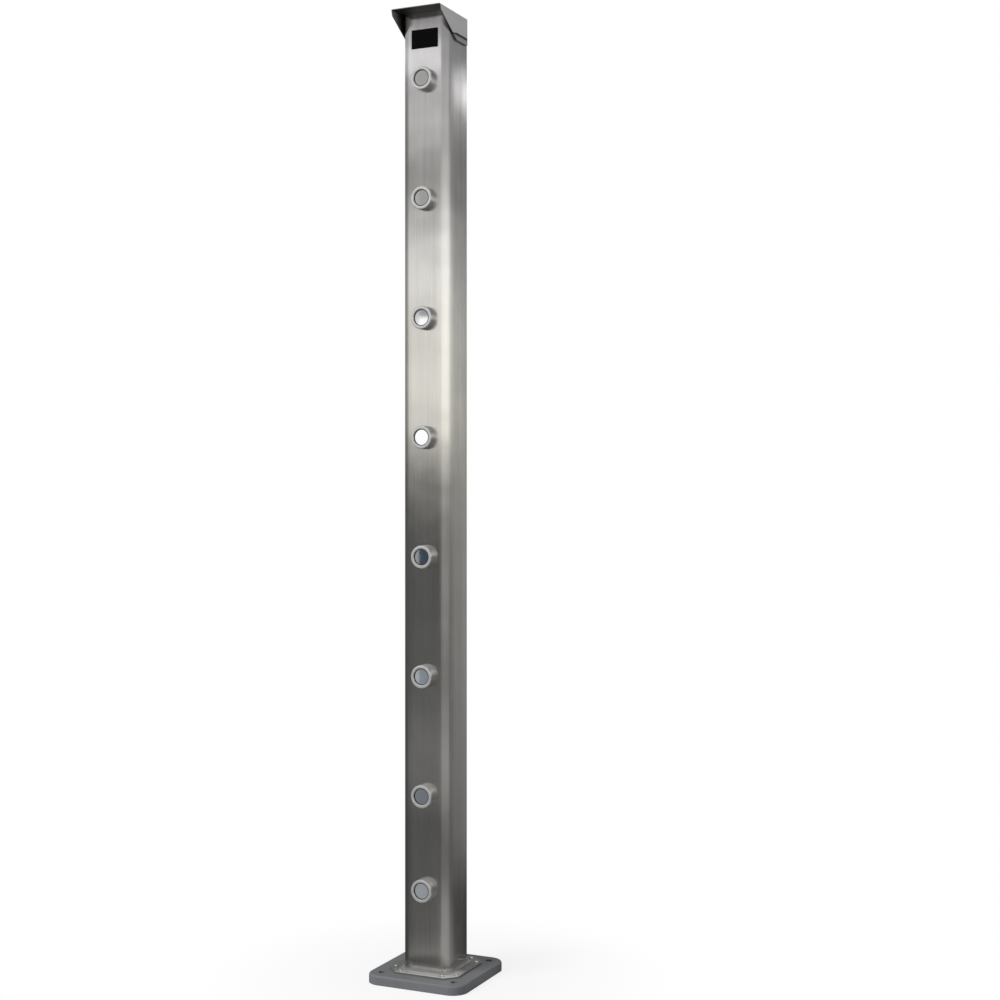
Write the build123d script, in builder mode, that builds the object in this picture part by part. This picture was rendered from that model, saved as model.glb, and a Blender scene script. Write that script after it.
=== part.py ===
# Transmitter post of a laser beam barrier: a brushed stainless post on a cast base,
# with eight beam windows, a display window and a rain hood.
# Lengths are millimetres. +Z is up, the post faces -Y, and the origin is the centre
# of the underside of the base.

from build123d import *
from math import tan, radians
import os

# Post
tube_width = 80.0
tube_wall = 2.0
tube_corner_radius = 11.5
head_rise = 108.5             # highest beam to the top of the hood

# Beams
beam_count = 8
lowest_beam = 147.5
lowest_gap = 150.0            # between the two lowest beams
beam_pitch = 190.0            # between all the others

# Base and foot
base_margin = 25.0            # base beyond the foot flange, each side
base_thickness = 15.0
base_corner_radius = 25.0
base_edge_radius = 3.5
anchor_inset = 22.0           # anchor hole to the edge of the base
anchor_hole_diameter = 11.0
cable_bore_diameter = 30.0
grommet_recess_diameter = 40.0
grommet_recess_depth = 4.5
flange_margin = 21.0          # flange beyond the tube, each side
flange_thickness = 3.0
flange_corner_cut = 18.0
flange_edge_bevel = 0.6
flange_screw_inset = 7.0      # screw to the edge of the flange
flange_screw_setback = 6.0    # screw to the end of the corner cut

# Cable grommet
grommet_bore = 12.0
grommet_neck = 26.0
grommet_lip = 34.0
grommet_lip_thickness = 3.5
grommet_clearance = 0.1

# Rain hood, folded from one sheet
hood_sheet = 1.2
hood_bend_radius = 0.8        # inside the folds
hood_spread = 3.5             # cheeks beyond the tube, each side
visor_overhang = 31.5         # in front of the tube
cheek_back_inset = 14.0       # back of the cheeks to the back of the tube
lip_drop = 9.8                # short upright front of each cheek
lip_lean = 3.0
cheek_slope = 31.0            # degrees below level, going back
cheek_drop = 32.0             # top of the hood to the level lower edge of a cheek
cheek_nose_depth = 3.0        # lowest corner of a cheek, in front, below that edge
cheek_nose_length = 14.0      # from that corner to where the lower edge is level
seal_depth = 1.3              # underside of the seals, below that corner
ledge_depth = 7.0             # height of the ledges, under the seals
back_tab_width = 50.0
back_tab_drop = 26.0
back_tab_gap = 0.3            # tab to the back of the tube
hood_screw_spacing = 30.0
hood_screw_drop = 16.0

# Beam windows
bezel_rim = 5.5               # bezel beyond its window, each side
bezel_protrusion = 13.5
bezel_edge_radius = 2.4
bezel_bevel = 1.2
bezel_throat = 21.0
shank_diameter = 27.8
shank_length = 12.0
shank_clearance = 0.3         # shank to the hole in the tube, on the radius
window_diameter = 26.0
window_thickness = 3.0
window_clearance = 0.1        # on the radius, for the window and its seal
seal_lip = 0.9                # seal over the edge of the window, each side
seal_thickness = 1.0
seal_recess = 1.3             # seal behind the front of the bezel
nut_across_flats = 34.0
nut_thickness = 5.0
nut_clearance = 0.1

# Laser modules and their brackets
module_length = 27.0
module_barrel = 14.0
module_head = 17.0
module_head_length = 5.0
module_aperture = 9.0
module_aperture_depth = 1.5
module_gap = 4.0              # end of the bezel's shank to the module
socket_diameter = 22.0
socket_depth = 12.0
socket_end = 5.0              # solid behind the module, down to the rail
socket_clearance = 0.05
bracket_foot_width = 46.0
bracket_foot_height = 20.0
bracket_foot_thickness = 3.0
bracket_screw_spacing = 36.0
wire_hole = 5.0

# Display
display_width = 47.0
display_height = 30.0
display_rise = 65.5           # highest beam to the middle of the display
display_recess = 0.4
display_clearance = 0.2
display_corner_radius = 1.0
display_rim = 5.0             # rear flange beyond the window, above and below
display_rim_thickness = 2.0
display_peg_diameter = 5.0
display_peg_length = 8.0
display_peg_inset = 3.0       # peg to the edge of the rear flange
display_pin_diameter = 2.4    # tip of the peg, through the board
display_stake_diameter = 4.0  # tip melted over behind the board
display_stake_height = 1.0
display_board_margin = 1.0    # rear flange beyond the board, each side
display_digits_width = 38.0
display_digits_height = 19.0
display_digits_thickness = 6.5

# Chassis rail
rail_overhang = 1.5           # rail beyond the flat inside of the tube, each side
rail_sheet = 1.5
rail_bend_radius = 2.0
rail_lip = 12.0
rail_headroom = 40.0          # rail to the top of the tube
rail_cable_notch_width = 42.0
rail_cable_notch_height = 34.0
rail_screw_end = 40.0         # screw to each end of the rail
rail_screw_rows = 3

# Boards and units on the rail
board_thickness = 1.6
standoff_height = 8.0
standoff_across_flats = 5.5
standoff_stud = 3.0           # thin end, through the rail
driver_width = 50.0
driver_height = 110.0
driver_hole_inset = 4.0
chip_size = 16.0
chip_thickness = 2.2
chip_spacing = 32.0
chip_drop = 4.0               # middle of the two chips, below the middle of the board
capacitor_diameter = 10.0
capacitor_height = 11.0
capacitor_spacing = 16.0
capacitor_rise = 32.0         # above the middle of the board
socket_strip_width = 28.0
socket_strip_height = 9.0
socket_strip_depth = 9.0
socket_strip_drop = 42.0      # below the middle of the board
supply_width = 46.0
supply_height = 84.0
supply_depth = 24.0
supply_edge_radius = 2.0
supply_ear = 9.0
supply_ear_width = 23.0
supply_ear_thickness = 2.5
terminal_body_width = 38.0
terminal_ear = 7.0            # each side, with its screw in the middle
terminal_height = 18.0
terminal_depth = 16.0
terminal_tab_height = 9.0
terminal_tab_thickness = 6.0
terminal_poles = 6
terminal_wire_diameter = 4.2
terminal_wire_depth = 4.0
terminal_rise = 42.0          # above the lower end of the rail

# Screws: shank diameter, shank length, head diameter, head height
flange_screw = (4.0, 12.0, 7.0, 2.2)
back_screw = (4.0, 8.0, 8.0, 2.6)
chassis_screw = (3.0, 8.0, 5.6, 2.0)
screw_clearance = 0.1         # on the radius, in every screw or pin hole
screw_tip_gap = 0.8           # left at the bottom of a blind screw hole
head_side_share = 0.55        # of a head's height, below its dome
head_crown_share = 0.68       # of a head's diameter, flat on top

# Places that follow from the sizes above
tube_half = tube_width / 2
inner_half = tube_half - tube_wall
inner_corner_radius = tube_corner_radius - tube_wall
inner_flat_half = inner_half - inner_corner_radius
beam_heights = [lowest_beam]
for step in range(beam_count - 1):
    beam_heights.append(lowest_beam + lowest_gap + step * beam_pitch)
top_beam = beam_heights[-1]
flange_size = tube_width + 2 * flange_margin
base_size = flange_size + 2 * base_margin
anchor_pitch = base_size - 2 * anchor_inset
tube_bottom = base_thickness + flange_thickness
hood_top = top_beam + head_rise
tube_top = hood_top - hood_sheet
bezel_diameter = window_diameter + 2 * bezel_rim
bezel_front = -tube_half - bezel_protrusion
bezel_bore_radius = window_diameter / 2 + window_clearance
window_view = window_diameter - 2 * seal_lip
window_seat = bezel_front + seal_recess + seal_thickness + window_thickness
shank_end = -tube_half + shank_length
module_front = shank_end + module_gap
socket_floor = module_front + module_length
socket_front = socket_floor - socket_depth
web_front = socket_floor + socket_end
foot_front = web_front - bracket_foot_thickness
rail_width = 2 * (inner_flat_half + rail_overhang)
rail_depth = inner_half - web_front
display_middle = top_beam + display_rise
rail_bottom = tube_bottom
rail_top = tube_top - rail_headroom
rail_height = rail_top - rail_bottom
driver_middle = top_beam - beam_pitch / 2
supply_middle = beam_heights[0] + lowest_gap + beam_pitch / 2
terminal_middle = rail_bottom + terminal_rise
standoff_front = web_front - standoff_height


# Drawing planes that look along Y
def front_plane(y):
    return Plane(origin=(0, y, 0), x_dir=(1, 0, 0), z_dir=(0, -1, 0))


def back_plane(y):
    return Plane(origin=(0, y, 0), x_dir=(-1, 0, 0), z_dir=(0, 1, 0))


os.makedirs("parts", exist_ok=True)


def save(piece, name):
    piece.label = name
    export_step(piece, f"parts/{name}.step")


# Every beam's own copy of a piece that is drawn at height zero
def save_for_beams(piece, name):
    for number, height in enumerate(reversed(beam_heights), start=1):
        save(piece.moved(Location((0, 0, height))), f"{name}_{number}")


# Screw with its head's seat at the origin and its shank along -Z
def screw_solid(size):
    diameter, length, head_diameter, head_height = size
    with BuildPart() as screw:
        with BuildSketch(Plane.XZ):
            with BuildLine():
                Polyline(
                    (0, -length),
                    (diameter / 2, -length),
                    (diameter / 2, 0),
                    (head_diameter / 2, 0),
                    (head_diameter / 2, head_side_share * head_height),
                    (head_crown_share * head_diameter / 2, head_height),
                    (0, head_height),
                    close=True,
                )
            make_face()
        revolve(axis=Axis.Z)
    return screw.part


def hole_radius(size):
    return size[0] / 2 + screw_clearance


# Cast base plate, with anchor holes and the way in for the cable
flange_screw_far = flange_size / 2 - flange_screw_inset
flange_screw_near = flange_size / 2 - flange_corner_cut - flange_screw_setback
flange_screw_depth = flange_screw[1] - flange_thickness + screw_tip_gap
flange_screw_points = [
    (side_x * along_x, side_y * along_y)
    for side_x in (-1, 1)
    for side_y in (-1, 1)
    for along_x, along_y in (
        (flange_screw_far, flange_screw_near),
        (flange_screw_near, flange_screw_far),
    )
]

with BuildPart() as base_plate:
    with BuildSketch():
        RectangleRounded(base_size, base_size, base_corner_radius)
    extrude(amount=base_thickness)
    fillet(base_plate.faces().sort_by(Axis.Z)[-1].edges(), radius=base_edge_radius)
    with Locations(Plane.XY.offset(base_thickness)):
        with GridLocations(anchor_pitch, anchor_pitch, 2, 2):
            Hole(radius=anchor_hole_diameter / 2)
        CounterBoreHole(
            radius=cable_bore_diameter / 2,
            counter_bore_radius=grommet_recess_diameter / 2,
            counter_bore_depth=grommet_recess_depth,
        )
        with Locations(*flange_screw_points):
            Hole(radius=hole_radius(flange_screw), depth=flange_screw_depth)
save(base_plate.part, "base_plate")

# Stainless foot flange that the tube is welded to
with BuildPart() as foot_flange:
    with BuildSketch(Plane.XY.offset(base_thickness)):
        corner_square = Rectangle(flange_size, flange_size)
        chamfer(corner_square.vertices(), length=flange_corner_cut)
    extrude(amount=flange_thickness)
    chamfer(foot_flange.faces().sort_by(Axis.Z)[-1].edges(), length=flange_edge_bevel)
    with Locations(Plane.XY.offset(tube_bottom)):
        Hole(radius=grommet_neck / 2 + grommet_clearance)
        with Locations(*flange_screw_points):
            Hole(radius=hole_radius(flange_screw))
save(foot_flange.part, "foot_flange")

with BuildPart() as flange_screws:
    with Locations(Plane.XY.offset(tube_bottom)):
        with Locations(*flange_screw_points):
            add(screw_solid(flange_screw))
save(flange_screws.part, "flange_screws")

# Rubber grommet, gripped by the flange
with BuildPart() as cable_grommet:
    with BuildSketch(Plane.XZ):
        with BuildLine():
            Polyline(
                (grommet_bore / 2, base_thickness - grommet_lip_thickness),
                (grommet_lip / 2, base_thickness - grommet_lip_thickness),
                (grommet_lip / 2, base_thickness),
                (grommet_neck / 2, base_thickness),
                (grommet_neck / 2, tube_bottom),
                (grommet_lip / 2, tube_bottom),
                (grommet_lip / 2, tube_bottom + grommet_lip_thickness),
                (grommet_bore / 2, tube_bottom + grommet_lip_thickness),
                close=True,
            )
        make_face()
    revolve(axis=Axis.Z)
save(cable_grommet.part, "cable_grommet")

# Square stainless tube, with its window openings in front and screw holes behind
beam_points = [(0, height) for height in beam_heights]
rail_screw_x = rail_width / 2 - rail_sheet - rail_lip / 2
rail_screw_span = rail_height - 2 * rail_screw_end
rail_screw_points = [
    (side * rail_screw_x, rail_bottom + rail_screw_end + row * rail_screw_span / (rail_screw_rows - 1))
    for side in (-1, 1)
    for row in range(rail_screw_rows)
]
hood_screw_height = hood_top - hood_screw_drop
hood_screw_points = [(side * hood_screw_spacing / 2, hood_screw_height) for side in (-1, 1)]

with BuildPart() as post_tube:
    with BuildSketch(Plane.XY.offset(tube_bottom)):
        RectangleRounded(tube_width, tube_width, tube_corner_radius)
        RectangleRounded(2 * inner_half, 2 * inner_half, inner_corner_radius, mode=Mode.SUBTRACT)
    extrude(amount=tube_top - tube_bottom)
    with BuildSketch(front_plane(-tube_half)):
        with Locations(*beam_points):
            Circle(shank_diameter / 2 + shank_clearance)
        with Locations((0, display_middle)):
            RectangleRounded(
                display_width + 2 * display_clearance,
                display_height + 2 * display_clearance,
                display_corner_radius,
            )
    extrude(amount=-2 * tube_wall, mode=Mode.SUBTRACT)
    with BuildSketch(back_plane(tube_half)):
        with Locations(*rail_screw_points):
            Circle(hole_radius(back_screw))
        with Locations(*hood_screw_points):
            Circle(hole_radius(back_screw))
    extrude(amount=-2 * tube_wall, mode=Mode.SUBTRACT)
save(post_tube.part, "post_tube")

# Rain hood: a top plate with a cheek folded down each side and a tab folded down behind
visor_half = tube_half + hood_spread
visor_front = -tube_half - visor_overhang
cheek_back = tube_half - cheek_back_inset
lip_back = visor_front + lip_lean
lip_height = hood_top - lip_drop
cheek_height = hood_top - cheek_drop
nose_height = cheek_height - cheek_nose_depth
seal_height = nose_height - seal_depth
ledge_height = seal_height - ledge_depth
tab_front = tube_half + back_tab_gap
tab_back = tab_front + hood_sheet


# Where the sloping front of the cheeks, seals and ledges is at a height
def cheek_front(height):
    return lip_back + (lip_height - height) / tan(radians(cheek_slope))


nose_front = cheek_front(nose_height)
nose_back = nose_front + cheek_nose_length

with BuildPart() as rain_hood:
    with BuildSketch(Plane.XY.offset(tube_top)):
        with Locations((0, (visor_front + cheek_back) / 2)):
            Rectangle(2 * visor_half, cheek_back - visor_front)
        RectangleRounded(tube_width, tube_width, tube_corner_radius)
        with Locations((0, tab_back / 2)):
            Rectangle(back_tab_width, tab_back)
    extrude(amount=hood_sheet)
    with BuildSketch(Plane.YZ.offset(visor_half - hood_sheet)):
        with BuildLine():
            Polyline(
                (visor_front, hood_top),
                (cheek_back, hood_top),
                (cheek_back, cheek_height),
                (nose_back, cheek_height),
                (nose_front, nose_height),
                (lip_back, lip_height),
                close=True,
            )
        make_face()
    extrude(amount=hood_sheet)
    mirror(about=Plane.YZ)
    with BuildSketch(back_plane(tab_front)):
        with Locations((0, hood_top - back_tab_drop / 2)):
            Rectangle(back_tab_width, back_tab_drop)
        with Locations(*hood_screw_points):
            Circle(hole_radius(back_screw), mode=Mode.SUBTRACT)
    extrude(amount=hood_sheet)
    long_edges = rain_hood.edges().filter_by(Axis.Y)
    fillet(
        long_edges.filter_by_position(Axis.Z, hood_top, hood_top).sort_by(SortBy.LENGTH)[-2:],
        radius=hood_bend_radius + hood_sheet,
    )
    long_edges = rain_hood.edges().filter_by(Axis.Y)
    fillet(
        long_edges.filter_by_position(Axis.Z, tube_top, tube_top).sort_by(SortBy.LENGTH)[-2:],
        radius=hood_bend_radius,
    )
    fillet(
        rain_hood.edges().filter_by(Axis.X).group_by(Axis.Z)[-1].sort_by(Axis.Y)[-1],
        radius=hood_bend_radius + hood_sheet,
    )
save(rain_hood.part, "rain_hood")


# Strip on each side of the tube, under the edge of the hood
def save_side_strips(outline, name):
    with BuildPart() as strip:
        with BuildSketch(Plane.YZ.offset(tube_half)):
            with BuildLine():
                Polyline(*outline, close=True)
            make_face()
        extrude(amount=hood_spread)
    save(strip.part, f"{name}_right")
    save(strip.part.mirror(Plane.YZ), f"{name}_left")


# Rubber seals that the cheeks stand on
save_side_strips(
    (
        (cheek_front(seal_height), seal_height),
        (nose_front, nose_height),
        (nose_back, cheek_height),
        (cheek_back, cheek_height),
        (cheek_back, seal_height),
    ),
    "hood_seal",
)

# Stainless ledges on the tube, under the seals
save_side_strips(
    (
        (cheek_front(ledge_height), ledge_height),
        (cheek_front(seal_height), seal_height),
        (cheek_back, seal_height),
        (cheek_back, ledge_height),
    ),
    "hood_ledge",
)

# One size of screw holds the hood and the rail from behind
with BuildPart() as back_screws:
    with Locations(back_plane(tab_back)):
        with Locations(*hood_screw_points):
            add(screw_solid(back_screw))
    with Locations(back_plane(tube_half)):
        with Locations(*rail_screw_points):
            add(screw_solid(back_screw))
save(back_screws.part, "back_screws")

# Turned aluminium bezel of a beam window
with BuildPart() as beam_bezel:
    with BuildSketch():
        with BuildLine():
            Polyline(
                (bezel_bore_radius + bezel_bevel, bezel_front),
                (bezel_diameter / 2, bezel_front),
                (bezel_diameter / 2, -tube_half),
                (shank_diameter / 2, -tube_half),
                (shank_diameter / 2, shank_end),
                (bezel_throat / 2, shank_end),
                (bezel_throat / 2, window_seat),
                (bezel_bore_radius, window_seat),
                (bezel_bore_radius, bezel_front + bezel_bevel),
                close=True,
            )
        make_face()
    revolve(axis=Axis.Y)
    front_rims = beam_bezel.edges().filter_by(GeomType.CIRCLE).group_by(Axis.Y)[0]
    fillet(front_rims.sort_by(SortBy.RADIUS)[-1], radius=bezel_edge_radius)
save_for_beams(beam_bezel.part, "beam_bezel")

# Glass window, seated in the bezel
with BuildPart() as beam_window:
    with BuildSketch(front_plane(window_seat)):
        Circle(window_diameter / 2)
    extrude(amount=window_thickness)
save_for_beams(beam_window.part, "beam_window")

# Rubber seal in front of the window
with BuildPart() as window_seal:
    with BuildSketch(front_plane(window_seat - window_thickness)):
        Circle(window_diameter / 2)
        Circle(window_view / 2, mode=Mode.SUBTRACT)
    extrude(amount=seal_thickness)
save_for_beams(window_seal.part, "window_seal")

# Nuts that hold the bezels, against the inside of the tube
with BuildPart() as bezel_nuts:
    with BuildSketch(front_plane(-inner_half)):
        with Locations(*beam_points):
            RegularPolygon(nut_across_flats / 2, 6, major_radius=False)
            Circle(shank_diameter / 2 + nut_clearance, mode=Mode.SUBTRACT)
    extrude(amount=-nut_thickness)
save(bezel_nuts.part, "bezel_nuts")

# Laser module: a barrel with a wider head and a small aperture
with BuildPart() as laser_module:
    with BuildSketch():
        with BuildLine():
            Polyline(
                (0, module_front + module_aperture_depth),
                (module_aperture / 2, module_front + module_aperture_depth),
                (module_aperture / 2, module_front),
                (module_head / 2, module_front),
                (module_head / 2, module_front + module_head_length),
                (module_barrel / 2, module_front + module_head_length),
                (module_barrel / 2, socket_floor),
                (0, socket_floor),
                close=True,
            )
        make_face()
    revolve(axis=Axis.Y)
save_for_beams(laser_module.part, "laser_module")

# Bracket with the socket that holds a laser module
with BuildPart() as module_bracket:
    with BuildSketch(front_plane(web_front)):
        Rectangle(bracket_foot_width, bracket_foot_height)
    extrude(amount=bracket_foot_thickness)
    with BuildSketch(front_plane(foot_front)):
        Circle(socket_diameter / 2)
    extrude(amount=foot_front - socket_front)
    with Locations(front_plane(socket_front)):
        Hole(radius=module_barrel / 2 + socket_clearance, depth=socket_depth)
        Hole(radius=wire_hole / 2)
    with Locations(front_plane(foot_front)):
        with GridLocations(bracket_screw_spacing, 0, 2, 1):
            Hole(radius=hole_radius(chassis_screw))
save_for_beams(module_bracket.part, "module_bracket")

# Smoked display window, pushed through the tube from inside
rim_width = 2 * inner_flat_half
rim_height = display_height + 2 * display_rim
rim_back = -inner_half + display_rim_thickness
peg_end = rim_back + display_peg_length
peg_spacing_x = rim_width - 2 * display_peg_inset
peg_spacing_z = rim_height - 2 * display_peg_inset

with BuildPart() as display_window:
    with BuildSketch(front_plane(-inner_half)):
        with Locations((0, display_middle)):
            RectangleRounded(display_width, display_height, display_corner_radius)
    extrude(amount=tube_wall - display_recess)
    with BuildSketch(front_plane(-inner_half)):
        with Locations((0, display_middle)):
            RectangleRounded(rim_width, rim_height, display_corner_radius)
    extrude(amount=-display_rim_thickness)
    with BuildSketch(front_plane(rim_back)):
        with Locations((0, display_middle)):
            with GridLocations(peg_spacing_x, peg_spacing_z, 2, 2):
                Circle(display_peg_diameter / 2)
    extrude(amount=-display_peg_length)
    with BuildSketch(back_plane(peg_end)):
        with Locations((0, display_middle)):
            with GridLocations(peg_spacing_x, peg_spacing_z, 2, 2):
                Circle(display_pin_diameter / 2)
    extrude(amount=board_thickness)
    with BuildSketch(back_plane(peg_end + board_thickness)):
        with Locations((0, display_middle)):
            with GridLocations(peg_spacing_x, peg_spacing_z, 2, 2):
                Circle(display_stake_diameter / 2)
    extrude(amount=display_stake_height)
save(display_window.part, "display_window")

# Display board, seated on the pegs, with its digits behind the window
with BuildPart() as display_board:
    with BuildSketch(back_plane(peg_end)):
        with Locations((0, display_middle)):
            Rectangle(rim_width - 2 * display_board_margin, rim_height - 2 * display_board_margin)
            with GridLocations(peg_spacing_x, peg_spacing_z, 2, 2):
                Circle(display_pin_diameter / 2 + screw_clearance, mode=Mode.SUBTRACT)
    extrude(amount=board_thickness)
    with BuildSketch(front_plane(peg_end)):
        with Locations((0, display_middle)):
            Rectangle(display_digits_width, display_digits_height)
    extrude(amount=display_digits_thickness)
save(display_board.part, "display_board")

# Screw places on the rail's web
bracket_screw_points = [
    (side * bracket_screw_spacing / 2, height) for height in beam_heights for side in (-1, 1)
]
supply_screw_z = supply_height / 2 + supply_ear / 2
supply_screw_points = [(0, supply_middle + side * supply_screw_z) for side in (-1, 1)]
terminal_screw_x = (terminal_body_width + terminal_ear) / 2
terminal_screw_points = [(side * terminal_screw_x, terminal_middle) for side in (-1, 1)]
driver_hole_x = driver_width / 2 - driver_hole_inset
driver_hole_z = driver_height / 2 - driver_hole_inset
driver_screw_points = [
    (side_x * driver_hole_x, driver_middle + side_z * driver_hole_z)
    for side_x in (-1, 1)
    for side_z in (-1, 1)
]
web_screw_points = (
    bracket_screw_points + supply_screw_points + terminal_screw_points + driver_screw_points
)

# Chassis rail: a lipped channel that stands inside the tube, its lips on the back wall
rail_middle = inner_half - rail_depth / 2
with BuildPart() as chassis_rail:
    with BuildSketch(Plane.XY.offset(rail_bottom)):
        with Locations((0, rail_middle)):
            RectangleRounded(rail_width, rail_depth, rail_bend_radius)
            RectangleRounded(
                rail_width - 2 * rail_sheet,
                rail_depth - 2 * rail_sheet,
                rail_bend_radius - rail_sheet,
                mode=Mode.SUBTRACT,
            )
        with Locations((0, inner_half)):
            Rectangle(rail_width - 2 * rail_lip, 3 * rail_sheet, mode=Mode.SUBTRACT)
    extrude(amount=rail_height)
    with BuildSketch(front_plane(web_front)):
        with Locations(*beam_points):
            Circle(wire_hole / 2)
        with Locations(*web_screw_points):
            Circle(hole_radius(chassis_screw))
        with Locations((0, rail_bottom)):
            Rectangle(rail_cable_notch_width, 2 * rail_cable_notch_height)
    extrude(amount=-2 * rail_sheet, mode=Mode.SUBTRACT)
    with BuildSketch(back_plane(inner_half)):
        with Locations(*rail_screw_points):
            Circle(hole_radius(back_screw))
    extrude(amount=-2 * rail_sheet, mode=Mode.SUBTRACT)
save(chassis_rail.part, "chassis_rail")

# Driver board on four standoffs
standoff_screw_depth = chassis_screw[1] - board_thickness + screw_tip_gap
parts_front = standoff_front - board_thickness
with BuildPart() as board_standoffs:
    with BuildSketch(front_plane(web_front)):
        with Locations(*driver_screw_points):
            RegularPolygon(standoff_across_flats / 2, 6, major_radius=False)
    extrude(amount=standoff_height)
    with BuildSketch(front_plane(web_front)):
        with Locations(*driver_screw_points):
            Circle(chassis_screw[0] / 2)
    extrude(amount=-standoff_stud)
    with Locations(front_plane(standoff_front)):
        with Locations(*driver_screw_points):
            Hole(radius=hole_radius(chassis_screw), depth=standoff_screw_depth)
save(board_standoffs.part, "board_standoffs")

with BuildPart() as driver_board:
    with BuildSketch(front_plane(standoff_front)):
        with Locations((0, driver_middle)):
            Rectangle(driver_width, driver_height)
        with Locations(*driver_screw_points):
            Circle(hole_radius(chassis_screw), mode=Mode.SUBTRACT)
    extrude(amount=board_thickness)
    with BuildSketch(front_plane(parts_front)):
        with Locations((0, driver_middle - chip_drop)):
            with GridLocations(0, chip_spacing, 1, 2):
                Rectangle(chip_size, chip_size)
    extrude(amount=chip_thickness)
    with BuildSketch(front_plane(parts_front)):
        with Locations((0, driver_middle + capacitor_rise)):
            with GridLocations(capacitor_spacing, 0, 2, 1):
                Circle(capacitor_diameter / 2)
    extrude(amount=capacitor_height)
    with BuildSketch(front_plane(parts_front)):
        with Locations((0, driver_middle - socket_strip_drop)):
            Rectangle(socket_strip_width, socket_strip_height)
    extrude(amount=socket_strip_depth)
save(driver_board.part, "driver_board")

# Potted power supply, held by an ear at each end
with BuildPart() as power_supply:
    with BuildSketch(front_plane(web_front)):
        with Locations((0, supply_middle)):
            Rectangle(supply_width, supply_height)
    extrude(amount=supply_depth)
    fillet(power_supply.faces().sort_by(Axis.Y)[0].edges(), radius=supply_edge_radius)
    with BuildSketch(front_plane(web_front)):
        with Locations((0, supply_middle)):
            Rectangle(supply_ear_width, supply_height + 2 * supply_ear)
        with Locations(*supply_screw_points):
            Circle(hole_radius(chassis_screw), mode=Mode.SUBTRACT)
    extrude(amount=supply_ear_thickness)
save(power_supply.part, "power_supply")

# Terminal block at the cable's end of the rail
terminal_tab_front = web_front - terminal_tab_thickness
pole_pitch = terminal_body_width / terminal_poles
with BuildPart() as terminal_block:
    with BuildSketch(front_plane(web_front)):
        with Locations((0, terminal_middle)):
            Rectangle(terminal_body_width + 2 * terminal_ear, terminal_tab_height)
    extrude(amount=terminal_tab_thickness)
    with BuildSketch(front_plane(web_front)):
        with Locations((0, terminal_middle)):
            Rectangle(terminal_body_width, terminal_height)
    extrude(amount=terminal_depth)
    with Locations(front_plane(web_front - terminal_depth)):
        with Locations((0, terminal_middle)):
            with GridLocations(pole_pitch, 0, terminal_poles, 1):
                Hole(radius=terminal_wire_diameter / 2, depth=terminal_wire_depth)
    with Locations(front_plane(terminal_tab_front)):
        with Locations(*terminal_screw_points):
            Hole(radius=hole_radius(chassis_screw))
save(terminal_block.part, "terminal_block")

# One size of screw holds all that is on the rail
chassis_screw_seats = (
    (foot_front, bracket_screw_points),
    (web_front - supply_ear_thickness, supply_screw_points),
    (terminal_tab_front, terminal_screw_points),
    (parts_front, driver_screw_points),
)
with BuildPart() as chassis_screws:
    for seat, points in chassis_screw_seats:
        with Locations(front_plane(seat)):
            with Locations(*points):
                add(screw_solid(chassis_screw))
save(chassis_screws.part, "chassis_screws")
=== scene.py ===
# Transmitter post of a laser beam barrier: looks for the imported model
import math

import bpy
from mathutils import Matrix, Vector


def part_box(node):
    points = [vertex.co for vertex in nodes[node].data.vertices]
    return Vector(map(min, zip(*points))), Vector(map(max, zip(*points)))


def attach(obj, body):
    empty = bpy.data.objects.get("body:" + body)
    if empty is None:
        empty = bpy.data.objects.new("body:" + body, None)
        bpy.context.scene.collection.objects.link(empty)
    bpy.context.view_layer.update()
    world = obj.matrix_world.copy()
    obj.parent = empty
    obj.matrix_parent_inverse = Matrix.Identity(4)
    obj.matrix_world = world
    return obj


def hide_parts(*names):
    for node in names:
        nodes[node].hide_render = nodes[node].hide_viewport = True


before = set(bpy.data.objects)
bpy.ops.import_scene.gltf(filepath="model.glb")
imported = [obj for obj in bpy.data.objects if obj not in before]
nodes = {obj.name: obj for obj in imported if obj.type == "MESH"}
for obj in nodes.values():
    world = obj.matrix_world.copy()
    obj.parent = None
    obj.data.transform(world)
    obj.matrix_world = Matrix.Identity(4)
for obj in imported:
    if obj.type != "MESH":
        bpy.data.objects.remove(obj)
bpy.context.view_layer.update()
print("frame loaded,", len(nodes), "nodes")


# sRGB hex to the linear values that shaders take
def toLinear(hexColour):
    channels = [int(hexColour[i:i + 2], 16) / 255 for i in (1, 3, 5)]
    linear = [c / 12.92 if c <= 0.04045 else ((c + 0.055) / 1.055) ** 2.4 for c in channels]
    return linear + [1.0]


def grey(value):
    return [value, value, value, 1.0]


# A node with its settings, its fixed values and its links. A link comes from a socket, or
# from a node, and is then its first output. The sockets of Mix go by number: 0 is the
# share, 2 and 3 take plain values, 6 and 7 take colours, and output 2 is the colour.
def addNode(tree, kind, sockets=None, **settings):
    node = tree.nodes.new("ShaderNode" + kind)
    for name, value in settings.items():
        setattr(node, name, value)
    for name, value in (sockets or {}).items():
        if isinstance(value, bpy.types.Node):
            value = value.outputs[0]
        if isinstance(value, bpy.types.NodeSocket):
            tree.links.new(value, node.inputs[name])
        else:
            node.inputs[name].default_value = value
    return node


def newMaterial(name):
    material = bpy.data.materials.new(name)
    material.use_nodes = True
    material.node_tree.nodes.clear()
    return material, material.node_tree


# 1 for rays from the camera, off gloss and through glass
def seenDirectly(tree):
    path = addNode(tree, "LightPath")
    seen = path.outputs["Is Camera Ray"]
    for ray in ("Is Glossy Ray", "Is Transmission Ray"):
        seen = addNode(tree, "Math", {0: seen, 1: path.outputs[ray]}, operation="MAXIMUM")
        seen = seen.outputs[0]
    return seen


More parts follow.
